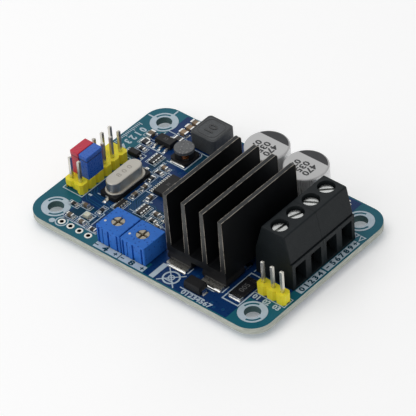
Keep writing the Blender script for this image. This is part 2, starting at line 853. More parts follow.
ROTOR = RecessFinish("rotor_moulding", (0.40, 0.36, 0.28), roughness=0.45, drift=0.22, drift_scale=1100.0,
                     grain=0.6, grain_scale=2400.0, deep=(0.085, 0.050, 0.024), level=(TOP + 4.3) * MM,
                     specular=0.3)
CERAMIC_WHITE = SpeckledFinish("white_ceramic", (0.72, 0.70, 0.64), roughness=0.6, drift=0.05,
                               speck=(0.05, 0.05, 0.05), speck_scale=1500.0, speck_size=0.12)
ANODISED = ExtrusionFinish("black_anodised", (0.0065, 0.0070, 0.0080), roughness=0.36, roughness_swing=0.08,
                           metallic=0.0, drift=0.18, drift_scale=220.0, grain=0.30, grain_scale=2600.0,
                           stretch=(6.0, 0.12, 6.0), specular=0.11)
WORN_EDGE = SpeckledFinish("edge_worn_to_metal", (0.42, 0.38, 0.32), roughness=0.36, metallic=0.75, drift=0.3,
                           drift_scale=330.0, grain=0.5, speck=(0.03, 0.028, 0.026), speck_scale=620.0,
                           speck_size=0.42)
ADHESIVE = Finish("thermal_adhesive", (0.40, 0.40, 0.39), roughness=0.6, drift=0.06, grain=0.4)
EPOXY = SpeckledFinish("black_epoxy", (0.0105, 0.0105, 0.0115), roughness=0.50, drift=0.12, grain=0.6,
                       grain_scale=5200.0, speck=(0.035, 0.035, 0.036), speck_scale=7000.0, speck_size=0.16,
                       specular=0.26)
CAN = DrawnCanFinish("capacitor_can", (0.70, 0.705, 0.71), roughness=0.3, roughness_swing=0.07, metallic=0.6,
                     drift=0.05, grain=0.14, grain_scale=3000.0, stretch=(1.0, 1.0, 0.1),
                     top=(0.52, 0.52, 0.52), top_roughness=0.42)
RUBBER = Finish("rubber_bung", (0.02, 0.02, 0.02), roughness=0.8, grain=0.4)
FOIL = Finish("wound_foil", (0.60, 0.50, 0.36), roughness=0.6, stretch=(1.0, 1.0, 0.05), grain=0.5,
              grain_scale=6000.0)
NICKEL = DrawnCanFinish("satin_nickel_can", (0.74, 0.71, 0.64), roughness=0.34, roughness_swing=0.07,
                        metallic=1.0, drift=0.12, drift_scale=330.0, grain=0.4, grain_scale=1900.0,
                        stretch=(2.0, 0.4, 1.0), top=(0.53, 0.505, 0.45), top_roughness=0.42)
FERRITE = SpeckledFinish("ground_ferrite", (0.058, 0.063, 0.068), roughness=0.42, drift=0.2, drift_scale=420.0,
                         grain=0.9, grain_depth=0.00007, grain_scale=2100.0, speck=(0.11, 0.11, 0.115),
                         speck_scale=2400.0, speck_size=0.22, dust=0.02, specular=0.3)
FERRITE_MARK = Finish("moulded_ferrite_mark", (0.022, 0.024, 0.026), roughness=0.35, drift=0.1, grain=0.5,
                      specular=0.5)
DRUM_FERRITE = SpeckledFinish("speckled_drum_ferrite", (0.085, 0.090, 0.094), roughness=0.34, drift=0.3,
                              drift_scale=900.0, grain=1.0, grain_depth=0.0001, grain_scale=1300.0,
                              speck=(0.26, 0.24, 0.25), speck_scale=1500.0, speck_size=0.3, specular=0.5)
COPPER_WIRE = Finish("enamelled_copper", (0.62, 0.24, 0.085), roughness=0.25, metallic=0.9, drift=0.1, coat=0.5)
CHIP_TAN = VariedFinish("fired_tan_ceramic", (0.13, 0.10, 0.068), roughness=0.4, drift=0.16,
                        drift_scale=900.0, grain=0.5, other=(0.30, 0.20, 0.115), change=210.0, specular=0.35)
CHIP_BLACK = SpeckledFinish("black_glaze", (0.012, 0.012, 0.014), roughness=0.3, drift=0.10, grain=0.3,
                            speck=(0.05, 0.05, 0.05), speck_scale=5000.0, speck_size=0.12, specular=0.35)
LENS = Finish("pale_lens", (0.60, 0.63, 0.50), roughness=0.3, drift=0.2, drift_scale=2200.0, grain=0.4,
              subsurface=0.25, coat=0.3)
ETCHED = Finish("etched_nickel", (0.36, 0.335, 0.29), roughness=0.55, metallic=0.6, drift=0.2)
WHITE_DOT = Finish("white_dot", (0.62, 0.62, 0.58), roughness=0.5, grain=0.3)

NODE_FINISHES: dict[str, Finish] = {
    "pcb": MASK_TEAL, "plated_pads": PLATED_RING, "solder_joints": SOLDER,
    "power_header_housing": YELLOW, "power_header_pins": TIN,
    "signal_header_housings": YELLOW, "signal_header_pins": TIN,
    "jumper_blue_cap": JUMPER_BLUE, "jumper_blue_clip": SPRING,
    "jumper_red_cap": JUMPER_RED, "jumper_red_clip": SPRING,
    "motor_terminal_housing": BLACK_MOULDING, "power_terminal_housing": BLACK_MOULDING,
    "terminal_contacts": TIN,
    "trimmer_a_housing": TRIMMER_BLUE, "trimmer_b_housing": TRIMMER_BLUE,
    "trimmer_a_rotor": ROTOR, "trimmer_b_rotor": ROTOR,
    "trimmer_elements": CERAMIC_WHITE, "trimmer_pins": TIN,
    "heat_sink": ANODISED, "thermal_adhesive": ADHESIVE,
    "mosfet_bodies": EPOXY, "mosfet_tabs": TIN, "mosfet_leads": TIN,
    "capacitor_cans": CAN, "capacitor_bases": BASE_BLACK, "capacitor_seals": RUBBER,
    "capacitor_rolls": FOIL, "capacitor_leads": TIN,
    "crystal_can": NICKEL, "crystal_base": BASE_BLACK, "crystal_leads": TIN,
    "controller_body": EPOXY, "controller_leads": TIN,
    "gate_driver_bodies": EPOXY, "gate_driver_leads": TIN,
    "regulator_body": EPOXY, "regulator_leads": TIN,
    "power_inductor_shield": FERRITE, "power_inductor_core": FERRITE, "power_inductor_coil": COPPER_WIRE,
    "drum_inductor_base": BASE_BLACK, "drum_inductor_core": DRUM_FERRITE, "drum_inductor_coil": COPPER_WIRE,
    "inductor_terminals": TIN, "sense_resistor": CHIP_BLACK, "diode_bodies": EPOXY, "status_light": LENS,
    "chip_capacitor_bodies": CHIP_TAN, "chip_resistor_bodies": CHIP_BLACK, "chip_plated_ends": SOLDER,
    **{f"clamp_screw_{number}": ZINC for number in range(1, 5)},
    **{f"clamp_cage_{number}": ZINC for number in range(1, 5)},
}


# ---- Pieces ----------------------------------------------------------------


@dataclass
class Assembly:
    """A sub-assembly: builds its pieces and hands each to the body it rides on."""

    body: str = "board"

    def piece(self, name: str, shape: Shape, finish: Finish, slot: str, smooth: float = 35.0,
              body: str | None = None) -> bpy.types.Object:
        """Turns a shape into a finished object.

        Args:
            name: Name of the piece.
            shape: Its surfaces, in millimetres.
            finish: Its finish.
            slot: The record's material slot that it takes after.
            smooth: Edges sharper than this many degrees stay sharp.
            body: The body it rides on, if not the assembly's own.

        Returns:
            The object.
        """
        mesh = bpy.data.meshes.new(name)
        mesh.from_pydata((shape.all_points() * MM).tolist(), [], shape.faces)
        mesh.validate()
        mesh.shade_smooth()
        mesh.set_sharp_from_angle(angle=math.radians(smooth))
        mesh.materials.append(finish.material())
        made = bpy.data.objects.new(name, mesh)
        bpy.context.scene.collection.objects.link(made)
        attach(made, body or self.body)
        LOG.info("%s: %d faces", name, len(mesh.polygons))
        return made

    def build(self) -> None:
        """Makes every piece of the assembly."""
        raise NotImplementedError


@dataclass
class CarriedSolids(Assembly):
    """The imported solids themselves, each given its finish."""

    def build(self) -> None:
        """Puts a finish on every CAD node."""
        for node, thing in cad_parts.items():
            finish = NODE_FINISHES[node]
            thing.data.materials.clear()
            thing.data.materials.append(finish.material())
            LOG.info("%s: %s", node, finish.name)


@dataclass
class Bundle:
    """Parallel copper tracks along one route."""

    route: list[Point]
    count: int = 1
    pitch: float = 0.5
    width: float = 0.26


@dataclass
class CopperAndMask(Assembly):
    """Copper under the solder mask: pours, tracks with their clearances, and via rings."""

    pour: list[Point] = field(default_factory=lambda: [
        (-24.4, -18.9), (1.4, -18.9), (1.4, -22.1), (24.2, -22.1), (24.2, -14.5), (27.0, -14.5), (27.0, -9.3),
        (30.2, -9.3), (30.2, 13.6), (24.4, 13.6), (24.4, 22.1), (-24.6, 22.1), (-24.6, 14.4), (-26.7, 13.4),
        (-26.7, 5.0), (-25.0, 4.2), (-25.0, -12.6), (-24.4, -12.6)])
    under: list[Point] = field(default_factory=lambda: [
        (-14.4, -21.8), (23.2, -21.8), (23.2, -13.2), (31.8, -13.2), (31.8, 13.2), (23.2, 13.2), (23.2, 21.8),
        (-23.2, 21.8), (-23.2, 13.2), (-31.8, 13.2), (-31.8, -13.2), (-23.2, -13.2), (-23.2, -19.0),
        (-14.4, -19.0)])
    clearings: list[tuple[float, float, float, float]] = field(default_factory=lambda: [
        (-16.4, -6.6, -13.6, 3.0), (-20.4, 3.0, -17.8, 8.6), (-24.0, -18.5, -17.6, -13.0),
        (-13.4, -9.9, -5.2, -5.2), (-19.0, -8.0, -17.6, -2.0), (-13.4, 7.6, -9.2, 14.6)])
    bundles: list[Bundle] = field(default_factory=lambda: [
        Bundle([(-15.0, 4.2), (-16.3, 4.2), (-17.9, 5.8), (-17.9, 8.8)], 3, 0.42, 0.2),
        Bundle([(-15.2, 2.6), (-15.9, 1.9), (-15.9, -6.2), (-13.4, -8.8), (-13.4, -10.4)], 4, 0.46, 0.22),
        Bundle([(-14.9, -0.6), (-14.4, -1.2), (-14.4, -5.6), (-12.2, -7.8)], 2, 0.46, 0.22),
        Bundle([(-25.1, 0.6), (-23.4, 2.9), (-19.4, 3.6), (-18.4, 3.0), (-17.9, 2.2), (-15.2, 2.2)],
               2, 0.5, 0.22),
        Bundle([(-25.1, -7.8), (-23.8, -9.4), (-18.6, -10.4), (-17.4, -11.6), (-15.0, -11.6)], 3, 0.6, 0.26),
        Bundle([(-25.1, -10.2), (-23.6, -11.6), (-19.2, -11.9), (-17.2, -13.8)], 2, 0.6, 0.3),
        Bundle([(-8.0, 3.9), (-6.4, 3.9), (-5.4, 4.2)], 3, 0.6, 0.26),
        Bundle([(-7.8, -0.4), (-6.2, -0.9), (-5.6, -4.6)], 4, 0.55, 0.24),
        Bundle([(-0.4, -5.2), (1.6, -5.2), (3.6, -7.2), (3.6, -8.6)], 2, 0.9, 0.4),
        Bundle([(-0.4, 3.4), (1.4, 3.4), (3.0, 1.8)], 3, 0.7, 0.35),
        Bundle([(-21.4, 8.7), (-21.4, 9.6), (-23.4, 10.4)], 3, 0.5, 0.22),
        Bundle([(-20.2, -14.4), (-18.0, -14.4), (-17.4, -16.0)], 3, 0.45, 0.2),
        Bundle([(-23.8, -18.8), (-23.2, -19.4), (-23.2, -19.6)], 1, 0.5, 0.3),
        Bundle([(-20.6, -19.4), (-20.6, -18.6), (-21.6, -17.0)], 1, 0.5, 0.3),
        Bundle([(-18.1, -19.4), (-18.1, -18.0)], 1, 0.5, 0.3),
        Bundle([(-15.6, -19.4), (-15.6, -18.6), (-16.4, -17.2)], 1, 0.5, 0.3),
        Bundle([(-9.6, 5.4), (-9.6, 13.0), (-11.0, 14.6)], 3, 0.6, 0.3),
        Bundle([(-12.9, -5.2), (-10.2, -5.2), (-9.2, -6.2), (-6.2, -6.2)], 2, 0.45, 0.2)])
    vias: list[Point] = field(default_factory=lambda: [
        (-24.2, -10.2), (-23.6, 3.0), (-19.2, -11.2), (-17.3, -6.7), (-15.2, 6.5), (-13.3, 6.5), (-18.6, 4.4),
        (-9.2, -2.9), (-9.3, 3.9), (-10.6, 9.2), (-22.9, 7.8), (-18.0, -15.2), (2.2, -13.4), (2.2, -12.2),
        (11.4, -16.0), (11.4, -14.6), (19.0, -20.4), (20.2, -21.2), (22.2, -20.6), (12.6, -9.4), (9.0, -2.0),
        (13.0, -2.0), (11.0, 0.6), (20.0, 14.8), (22.6, 15.8), (-6.5, 10.2), (-5.2, 12.8), (-7.9, 16.4),
        (-7.9, 20.0), (9.3, 9.9), (9.3, 21.4)])
    bright_vias: list[Point] = field(default_factory=lambda: [(21.7, 21.2), (22.45, 20.4), (22.95, 19.7)])

    def build(self) -> None:
        """Makes the pours, tracks and vias of both faces."""
        low = TOP - 0.004
        pours = Shape()
        pours.add(*plate(np.array(self.pour), low, TOP + Layer.POUR.value))
        pours.add(*plate(np.array(self.under), -Layer.POUR.value, 0.004))
        self.piece("copper_pours", pours, MASK_BLUE, "solder_mask")

        gaps = Shape()
        tracks = Shape()
        for x0, y0, x1, y1 in self.clearings:
            outline = rounded_outline((x0 + x1) / 2, (y0 + y1) / 2, x1 - x0, y1 - y0, 0.4)
            gaps.add(*plate(outline, low, TOP + Layer.POUR.value + 0.002))
        for bundle in self.bundles:
            for number in range(bundle.count):
                away = (number - (bundle.count - 1) / 2) * bundle.pitch
                route = offset_route(bundle.route, away)
                gaps.add(*ribbon(route, bundle.width + 0.22, low, TOP + Layer.CLEARANCE.value))
                tracks.add(*ribbon(route, bundle.width, low, TOP + Layer.TRACK.value))
                flipped = route * np.array([1.0, -1.0]) + np.array([9.0, 0.0])
                inside = (np.abs(flipped) < np.array([30.0, 20.0])).all()
                if inside:
                    tracks.add(*ribbon(flipped, bundle.width, -Layer.TRACK.value, 0.004))
        self.piece("track_clearances", gaps, MASK_GAP, "solder_mask")
        self.piece("copper_tracks", tracks, MASK_TRACK, "solder_mask")

        rings = Shape()
        holes = Shape()
        for x, y in self.vias:
            rings.add(*arc_band(x, y, 0.16, 0.36, low, TOP + Layer.TRACK.value))
            holes.add(*plate(circle(x, y, 0.17, 12), low, TOP + Layer.POUR.value + 0.004))
        self.piece("via_rings", rings, MASK_TRACK, "solder_mask")
        self.piece("via_holes", holes, PRINT_DARK, "solder_mask")
        plated = Shape()
        turn = np.linspace(0, math.pi / 2, 4)
        for x, y in self.bright_vias:
            loops = [np.column_stack([circle(x, y, 0.34 * math.cos(a) + 0.02, 16),
                                      np.full(16, TOP + 0.02 + 0.14 * math.sin(a))]) for a in turn]
            plated.add(*loft(np.stack(loops)))
        self.piece("filled_vias", plated, SOLDER, "solder")


Job = tuple[np.ndarray, np.ndarray, float, float]

CHIP_NODES = ("chip_capacitor_bodies", "chip_resistor_bodies", "sense_resistor", "diode_bodies", "status_light")
INDUCTORS = ("power_inductor_shield", "drum_inductor_base")
LEADS: tuple[tuple[str, tuple[str, ...], int | None, float], ...] = (
    ("controller_leads", ("controller_body",), 0, 0.22),
    ("gate_driver_leads", ("gate_driver_bodies",), 0, 0.22),
    ("regulator_leads", ("regulator_body",), 1, 0.42),
    ("mosfet_leads", ("mosfet_bodies",), 1, 0.42),
    ("mosfet_tabs", ("mosfet_bodies",), 1, 0.42),
    ("capacitor_leads", ("capacitor_bases",), 0, 0.42),
    ("crystal_leads", ("crystal_base",), 1, 0.42),
    ("inductor_terminals", (), None, 0.3))


@dataclass
class Solder(Assembly):
    """Tinned pads and concave solder fillets at every surface-mounted end and lead."""

    reach: float = 0.26
    small_reach: float = 0.16
    margin: float = 0.05
    rim: float = 0.06
    foot: float = 1.3
    toe_height: float = 0.32

    def fillet(self, box: np.ndarray, away: np.ndarray, climb: float, reach: float) -> tuple[np.ndarray, list]:
        """A concave ramp from an end face down to the pad.

        The height falls as (1 - s) ** 2.2 over the reach, and shrinks to nothing at both sides.

        Args:
            box: Lowest and highest corner of the end.
            away: Unit step away from the part.
            climb: Share of the end's height that the solder climbs.
            reach: Length of the ramp.

        Returns:
            Points and faces.
        """
        axis = int(abs(away[1]) > 0.5)
        side = 1 - axis
        face = box[1, axis] if away[axis] > 0 else box[0, axis]
        centre = (box[0, side] + box[1, side]) / 2
        width = (box[1, side] - box[0, side]) / 2 + self.margin * 0.6
        tall = (box[1, 2] - TOP) * climb
        s = np.linspace(0, 1, 7)
        v = np.linspace(-1, 1, 7)
        bulge = np.sqrt(np.maximum(1 - np.abs(v) ** 3, 0.02))
        height = TOP + 0.045 + tall * np.outer(bulge, (1 - s) ** 2.2)
        points = np.zeros((7, 7, 3))
        points[..., axis] = face + away[axis] * (s[None, :] * reach - 0.03)
        points[..., side] = centre + (v * width)[:, None] * (1 - 0.12 * s[None, :])
        points[..., 2] = height
        floor = points.copy()
        floor[..., 2] = TOP + 0.01
        both = np.stack([points, floor]).reshape(-1, 3)
        upper = grid_quads(7, 7)
        handed = away[axis] * (1 if axis == 0 else -1)
        upper = upper if handed < 0 else upper[:, ::-1]
        lower = upper[:, ::-1] + 49
        rim = np.concatenate([np.arange(7), np.arange(13, 49, 7), np.arange(47, 41, -1), np.arange(35, 0, -7)])
        ahead = np.roll(rim, -1)
        wall = np.stack([rim, ahead, ahead + 49, rim + 49], -1)
        wall = wall if handed > 0 else wall[:, ::-1]
        return both, np.concatenate([upper, lower, wall])[:, ::-1].tolist()

    def chip_jobs(self) -> list[Job]:
        """The plated ends of the chip parts, each faced away from the middle of its part.

        Returns:
            Box, step away, share climbed and reach, one for each end.
        """
        parts = np.concatenate([solid_boxes(node) for node in CHIP_NODES])
        centres = parts.mean(1)[:, :2]
        jobs: list[Job] = []
        for box in solid_boxes("chip_plated_ends"):
            middle = box.mean(0)[:2]
            size = (box[1] - box[0])[:2]
            step = middle - centres[np.argmin(((centres - middle) ** 2).sum(1))]
            small = size.max() < 0.6 and box[1, 2] - TOP < 0.56
            axis = int(abs(step[1]) > abs(step[0]))
            if small and size[1] > size[0]:
                axis = 0
            away = np.zeros(2)
            away[axis] = math.copysign(1.0, step[axis])
            jobs.append((box, away, 0.72, self.small_reach if small else self.reach))
        return jobs

    def lead_jobs(self) -> list[Job]:
        """The feet of the leads, tabs and terminals; only the outer length of each takes solder.

        Returns:
            Box, step away, share climbed and reach, one for each foot.
        """
        jobs: list[Job] = []
        for node, owners, along, reach in LEADS:
            if owners:
                bodies = solid_boxes(owners[0]).mean(1)[:, :2]
            else:
                bodies = np.stack([solid_boxes(name).mean(1)[0, :2] for name in INDUCTORS])
            for box in solid_boxes(node):
                middle = box.mean(0)[:2]
                step = middle - bodies[np.argmin(((bodies - middle) ** 2).sum(1))]
                axis = int(abs(step[1]) > abs(step[0])) if along is None else along
                away = np.zeros(2)
                away[axis] = math.copysign(1.0, step[axis])
                toe = box.copy()
                toe[1, 2] = min(box[1, 2], TOP + self.toe_height)
                if away[axis] > 0:
                    toe[0, axis] = max(toe[0, axis], toe[1, axis] - self.foot)
                else:
                    toe[1, axis] = min(toe[1, axis], toe[0, axis] + self.foot)
                jobs.append((toe, away, 0.8, reach))
        return jobs

    def build(self) -> None:
        """Makes the pads and fillets of every chip end, lead, tab and terminal."""
        pads = Shape()
        fillets = Shape()
        for box, away, climb, reach in self.chip_jobs() + self.lead_jobs():
            fillets.add(*self.fillet(box, away, climb, reach))
            low = box[0, :2] - self.margin + np.minimum(away * (reach + self.rim), 0)
            high = box[1, :2] + self.margin + np.maximum(away * (reach + self.rim), 0)
            outline = rounded_outline(*((low + high) / 2), *(high - low), 0.05, 3)
            pads.add(*plate(outline, TOP + 0.002, TOP + Layer.PAD.value - 0.006))
        self.piece("tinned_pads", pads, SOLDER, "solder")
        self.piece("solder_fillets", fillets, SOLDER, "solder", smooth=60.0)


@dataclass
class PrintedMarks(Assembly):
    """The white component print, with generic figures and signs."""

    line: float = 0.13

    def chip_outlines(self, shape: Shape) -> None:
        """Draws a box round each small chip, just clear of its pads.

        Args:
            shape: The print that it is added to.
        """
        for node, gap in (("chip_capacitor_bodies", 0.32), ("chip_resistor_bodies", 0.32)):
            for low, high in solid_boxes(node):
                long_axis = int((high - low)[1] > (high - low)[0])
                grow = np.array([gap, gap])
                grow[long_axis] = 1.0
                if (high - low)[:2].max() > 3.0:
                    grow = np.array([0.85, 0.2])
                a, b = low[:2] - grow, high[:2] + grow
                route = [(a[0], a[1]), (b[0], a[1]), (b[0], b[1]), (a[0], b[1])]
                shape.add(*ribbon(route, self.line, TOP, TOP + Layer.PRINT.value, closed=True))

    def hole_rings(self, shape: Shape) -> None:
        """Double rings round the mounting holes, joined over two opposite quarters.

        Args:
            shape: The print that it is added to.
        """
        top = TOP + Layer.PRINT.value
        for x in (-27.5, 27.5):
            for y in (-17.5, 17.5):
                shape.add(*arc_band(x, y, 2.76, 3.2, TOP, top))
                shape.add(*arc_band(x, y, 1.80, 2.28, TOP, top))
                shape.add(*arc_band(x, y, 2.27, 2.77, TOP, top - 0.002, -8.0, 96.0))
                shape.add(*arc_band(x, y, 2.27, 2.77, TOP, top - 0.002, 172.0, 276.0))

    def build(self) -> None:
        """Makes the white print and the figures that show the mask through it."""
        top = TOP + Layer.PRINT.value
        white = Shape()
        self.hole_rings(white)
        self.chip_outlines(white)
        lines: list[tuple[list[Point], float]] = [
            ([(-27.5, 20.7), (-27.5, 22.2)], 0.36), ([(-32.1, 17.5), (-30.7, 17.5)], 0.36),
            ([(9.25, -14.8), (9.25, -16.8)], 0.25), ([(18.75, -14.6), (18.75, -16.9)], 0.28),
            ([(10.6, -20.75), (17.3, -20.75)], 0.24), ([(10.6, -17.65), (17.3, -17.65)], 0.2),
            ([(-26.6, 4.35), (-23.6, 4.35)], 0.24), ([(-24.9, 15.1), (-24.9, 14.3)], 0.2),
            ([(-24.7, 15.9), (-20.2, 15.9)], 0.22), ([(-24.7, 9.15), (-20.3, 9.15)], 0.24),
            ([(-18.4, 8.0), (-13.2, 8.0), (-13.2, 13.6), (-14.0, 14.5)], 0.24),
            ([(-23.2, -8.9), (-22.0, -8.9)], 0.24), ([(-19.4, -8.9), (-17.7, -8.9), (-17.7, -9.6)], 0.22),
            ([(-23.1, 3.1), (-17.4, 3.1)], 0.2), ([(-15.4, 5.0), (-14.1, 5.0)], 0.2),
            ([(-15.4, -2.2), (-14.1, -2.2)], 0.2), ([(-9.0, 5.1), (-8.0, 5.1)], 0.2),
            ([(-14.2, -8.7), (-5.2, -8.7)], 0.14), ([(-24.1, -19.0), (-14.4, -19.0)], 0.18),
            ([(-24.1, -12.9), (-20.8, -12.9)], 0.2), ([(-18.0, -13.2), (-17.3, -13.2), (-17.3, -17.4)], 0.2),
            ([(-9.5, 22.1), (-9.5, 10.3), (20.4, 10.3), (20.4, 22.1)], 0.22),
            ([(9.3, 21.9), (9.3, 10.6)], 0.2), ([(19.9, -8.0), (19.9, 13.2), (30.0, 13.2)], 0.25)]
        for route, width in lines:
            white.add(*ribbon(route, width, TOP, top))
        boxes: list[tuple[float, float, float, float, float]] = [
            (19.75, -17.95, 23.95, -8.65, 0.30), (-30.6, -11.9, -25.1, 3.8, 0.2), (-5.5, -2.0, -0.5, -9.0, 0.18),
            (-5.5, 6.5, -0.5, -0.5, 0.18), (-18.05, 14.35, -9.9, 22.0, 0.2), (24.0, -12.65, 31.9, -9.85, 0.18),
            (-21.15, -17.1, -18.4, -14.7, 0.2), (-28.0, 4.35, -23.0, 6.55, 0.18)]
        for x0, y0, x1, y1, width in boxes:
            route = [(x0, y0), (x1, y0), (x1, y1), (x0, y1)]
            route = route if (x1 - x0) * (y1 - y0) > 0 else route[::-1]
            white.add(*ribbon(route, width, TOP, top, closed=True))
        bars = [(-12.75, -22.05, 1.25, -20.35), (3.0, -22.0, 4.25, -17.2), (30.45, -7.35, 32.05, 0.85),
                (30.45, 1.35, 32.05, 11.95), (-24.6, -10.55, -23.7, -10.0)]
        for x0, y0, x1, y1 in bars:
            outline = rounded_outline((x0 + x1) / 2, (y0 + y1) / 2, x1 - x0, y1 - y0, 0.08, 3)
            white.add(*plate(outline, TOP, top))
        white.add(*plate(circle(-25.15, -21.25, 0.68), TOP, top))
        white.add(*arc_band(-23.2, -20.33, 1.22, 1.5, TOP, top))
        self.check_circle(white, 7.3, -19.7)
        for points in ([(30.75, 13.9), (31.95, 13.9), (31.35, 12.5)],
                       [(29.1, 13.95), (30.3, 13.95), (29.9, 12.9)]):
            white.add(*ribbon(points[::-1], 0.22, TOP, top, closed=True))
        self.scale_ticks(white)
        rows = [("0 1 2 3 4 5", -29.55, 8.7, 1.85, Reading.AGAINST_Y, 0.84),
                ("01234567", 15.7, -21.45, 1.25, Reading.ALONG_X, 1.15),
                ("01", 25.2, -13.6, 1.3, Reading.ALONG_X, 1.0), ("02", 27.95, -13.6, 1.3, Reading.ALONG_X, 1.0),
                ("03", 30.6, -13.6, 1.3, Reading.ALONG_X, 1.0), ("8", -18.2, -12.3, 0.8, Reading.ALONG_X, 1.0),
                ("+", -17.9, -14.2, 0.8, Reading.ALONG_X, 1.0), ("4", -11.9, -4.4, 0.7, Reading.ALONG_Y, 1.0),
                ("6", -9.1, 6.6, 0.8, Reading.ALONG_X, 1.0), ("2", -18.2, 7.0, 0.8, Reading.ALONG_Y, 1.0),
                ("3", -24.9, 14.0, 0.9, Reading.ALONG_Y, 1.0)]
        for text, x, y, height, reading, squeeze in rows:
            white.merge(figures(text, x, y, TOP, Layer.PRINT.value, height, reading.value, height * 0.045,
                                squeeze))
        self.piece("white_print", white, PRINT_WHITE, "solder_mask")

        dark = Shape()
        floor, ceiling = TOP + 0.03, TOP + Layer.OVERPRINT.value
        for text, x in (("4", -9.8), ("8", -2.4)):
            dark.merge(figures(text, x, -21.25, floor, ceiling - floor, 1.4, 0.0, 0.08, 1.35))
        rows_of_five = np.concatenate([np.linspace(-6.2, -0.3, 5), np.linspace(3.9, 9.8, 5)])
        for number, y in enumerate(rows_of_five):
            dark.merge(figures(str(number), 31.25, y, floor, ceiling - floor, 1.3, 90.0, 0.075, 1.15))
        for x, y, upright in ((-12.25, -21.25, False), (-6.95, -21.25, True), (-5.0, -21.25, False),
                              (0.5, -21.25, True), (31.25, 2.2, False), (31.25, 11.3, True)):
            turned = x > 0.6
            bar = [(x, y - 0.4), (x, y + 0.4)] if turned and not upright else [(x - 0.48, y), (x + 0.48, y)]
            dark.add(*ribbon(bar, 0.27, floor, ceiling))
            if upright:
                dark.add(*ribbon([(x, y - 0.48), (x, y + 0.48)], 0.27, floor, ceiling - 0.002))
        dark.add(*plate(rounded_outline(-5.78, -21.2, 0.24, 1.75, 0.03, 2), floor, ceiling))
        self.piece("knocked_out_signs", dark, PRINT_DARK, "solder_mask")

    def check_circle(self, shape: Shape, x: float, y: float) -> None:
        """A round aiming mark with a cross through it.

        Args:
            shape: The print that it is added to.
            x, y: Its centre.
        """
        top = TOP + Layer.PRINT.value
        shape.add(*arc_band(x, y, 1.62, 2.0, TOP, top))
        shape.add(*arc_band(x, y, 0.55, 0.8, TOP, top))
        for slope in (1, -1):
            route = [(x - 2.3, y - slope * 2.2), (x + 2.3, y + slope * 2.2)]
            shape.add(*ribbon(route, 0.26, TOP, top - 0.003 * slope))
        shape.add(*ribbon([(x - 1.7, y - 1.0), (x + 1.7, y - 1.0)], 0.26, TOP, top + 0.004))

    def scale_ticks(self, shape: Shape) -> None:
        """A printed scale along the short edge: every fifth tick is long.

        Args:
            shape: The print that it is added to.
        """
        top = TOP + Layer.PRINT.value
        for number in range(19):
            y = 14.1 - number * 0.5
            length = 1.15 if number % 5 == 0 else 0.75
            shape.add(*ribbon([(-32.0, y), (-32.0 + length, y)], 0.2, TOP, top))


@dataclass
class PartMarks(Assembly):
    """Figures and dots marked on the parts themselves."""

    ink: float = 0.012

    def build(self) -> None:
        """Makes the laser marks, the inked capacitor tops and the trimmer dots."""
        self.laser_marks()
        self.capacitor_tops()
        self.trimmer_dots()

    def laser_marks(self) -> None:
        """Pale figures on the moulded packages."""
        grey = Shape()
        rows = [("controller_body", "08 15", 0.8, 90.0, 0.5), ("controller_body", "20", 0.7, 90.0, -0.7),
                ("regulator_body", "33", 0.85, 0.0, 0.0), ("sense_resistor", "005", 1.35, 90.0, 0.0)]
        for node, text, height, reading, shift in rows:
            low, high = node_box(node)
            x, y = (low + high)[:2] / 2
            grey.merge(figures(text, x + shift, y, high[2] - 0.002, self.ink, height, reading))
        for low, high in solid_boxes("gate_driver_bodies"):
            grey.merge(figures("21 04", (low[0] + high[0]) / 2, (low[1] + high[1]) / 2, high[2] - 0.002,
                               self.ink, 0.8, 90.0))
        low, high = node_box("crystal_can")
        crystal = figures("8 0 0", (low[0] + high[0]) / 2, (low[1] + high[1]) / 2, high[2] - 0.002,
                          0.006, 1.25, 90.0, 0.02, 1.25)
        self.piece("laser_marks", grey, MARK_GREY, "black_epoxy")
        self.piece("crystal_mark", crystal, ETCHED, "nickel_can")
        low, high = node_box("power_inductor_core")
        x, y = (low + high)[:2] / 2
        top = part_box("power_inductor_shield")[1].z / MM
        moulded = figures("10", x, y, top - 0.01, 0.11, 2.3, 90.0, 0.06)
        for side, radius in ((5.2, 1.5), (6.3, 0.9)):
            outline = rounded_outline(x, y, side, side, radius, 8)
            moulded.add(*ribbon(outline.tolist(), 0.2, top - 0.01, top + 0.05, closed=True))
        self.piece("inductor_mark", moulded, FERRITE_MARK, "ferrite")

    def capacitor_tops(self) -> None:
        """The black polarity segment and three rows of figures on each can."""
        black = Shape()
        for low, high in solid_boxes("capacitor_cans"):
            x, y = (low + high)[:2] / 2
            level = high[2]
            radius, chord = 4.6, 2.35
            half = math.acos(chord / radius)
            turn = np.linspace(math.pi / 2 - half, math.pi / 2 + half, 24)
            outline = np.stack([x + radius * np.cos(turn), y + radius * np.sin(turn)], -1)
            black.add(*plate(outline, level - 0.004, level + self.ink))
            for text, shift, height in (("470", 1.75, 1.6), ("035", -0.15, 1.6), ("07", -2.05, 1.5)):
                black.merge(figures(text, x + shift, y - 1.0, level - 0.004, self.ink + 0.004, height,
                                    Reading.AGAINST_Y.value, 0.07, 1.15))
        self.piece("capacitor_ink", black, MARK_BLACK, "capacitor_can")

    def trimmer_dots(self) -> None:
        """A white dot on each trimmer, domed as the height r times the sine of a quarter turn."""
        dots = Shape()
        for name in ("trimmer_a_housing", "trimmer_b_housing"):
            low, high = node_box(name)
            x, y = (low + high)[:2] / 2
            turn = np.linspace(0, math.pi / 2 * 0.96, 4)
            loops = [np.column_stack([circle(x - 2.4, y - 1.4, 0.3 * math.cos(a), 16),
                                      np.full(16, high[2] - 0.01 + 0.05 * math.sin(a))]) for a in turn]
            dots.add(*loft(np.stack(loops)))
        self.piece("trimmer_dots", dots, WHITE_DOT, "trimmer_plastic")


